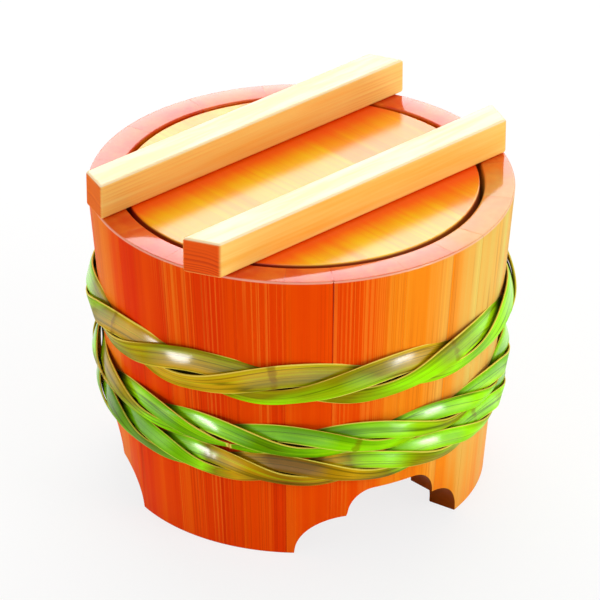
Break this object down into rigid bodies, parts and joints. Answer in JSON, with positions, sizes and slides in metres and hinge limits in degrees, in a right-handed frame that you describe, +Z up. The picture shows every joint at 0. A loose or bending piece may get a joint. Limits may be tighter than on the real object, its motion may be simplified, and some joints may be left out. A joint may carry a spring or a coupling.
{
  "type": "noodle tub",
  "caption": "Tapered coopered wooden noodle tub on arched feet, bound with twisted green bamboo hoops, with a drop-in plank lid lifted by bars that rest on the rim.",
  "frame": {"origin": "on the floor under the tub, on the tub's axis", "axes": "+Z up along the tub's axis, +X along the lid bars"},
  "size_m": [0.213, 0.2132, 0.1772],
  "materials": {
    "stave_wood": "smooth planed cypress with a satin coat",
    "base_wood": "planed cypress",
    "lid_wood": "planed cypress with a satin coat",
    "bar_wood": "planed pale cypress",
    "hoop_bamboo": "split green bamboo, glossy skin",
    "peg_bamboo": "whittled bamboo"
  },
  "bodies": {
    "tub": {"stave_01": "stave_wood", "stave_02": "stave_wood", "stave_03": "stave_wood", "stave_04": "stave_wood", "stave_05": "stave_wood", "stave_06": "stave_wood", "stave_07": "stave_wood", "stave_08": "stave_wood", "stave_09": "stave_wood", "stave_10": "stave_wood", "stave_11": "stave_wood", "stave_12": "stave_wood", "stave_13": "stave_wood", "stave_14": "stave_wood", "stave_15": "stave_wood", "stave_16": "stave_wood", "stave_17": "stave_wood", "stave_18": "stave_wood", "stave_peg_01": "peg_bamboo", "stave_peg_02": "peg_bamboo", "stave_peg_03": "peg_bamboo", "stave_peg_04": "peg_bamboo", "stave_peg_05": "peg_bamboo", "stave_peg_06": "peg_bamboo", "stave_peg_07": "peg_bamboo", "stave_peg_08": "peg_bamboo", "stave_peg_09": "peg_bamboo", "stave_peg_10": "peg_bamboo", "stave_peg_11": "peg_bamboo", "stave_peg_12": "peg_bamboo", "stave_peg_13": "peg_bamboo", "stave_peg_14": "peg_bamboo", "stave_peg_15": "peg_bamboo", "stave_peg_16": "peg_bamboo", "stave_peg_17": "peg_bamboo", "stave_peg_18": "peg_bamboo", "base_plank_left": "base_wood", "base_plank_middle": "base_wood", "base_plank_right": "base_wood", "base_peg_1": "peg_bamboo", "base_peg_2": "peg_bamboo", "base_peg_3": "peg_bamboo", "base_peg_4": "peg_bamboo", "upper_hoop": "hoop_bamboo", "lower_hoop_top": "hoop_bamboo", "lower_hoop_bottom": "hoop_bamboo"},
    "lid": {"lid_plank_left": "lid_wood", "lid_plank_middle": "lid_wood", "lid_plank_right": "lid_wood", "lid_peg_1": "peg_bamboo", "lid_peg_2": "peg_bamboo", "lid_peg_3": "peg_bamboo", "lid_peg_4": "peg_bamboo", "lid_bar_back": "bar_wood", "lid_bar_front": "bar_wood", "bar_nail_1": "peg_bamboo", "bar_nail_2": "peg_bamboo", "bar_nail_3": "peg_bamboo", "bar_nail_4": "peg_bamboo"}
  },
  "joints": [
    {"name": "lid_lift", "type": "slide", "parent": "tub", "child": "lid", "axis": [0, 0, 1], "range_m": [0, 0.08]}
  ]
}
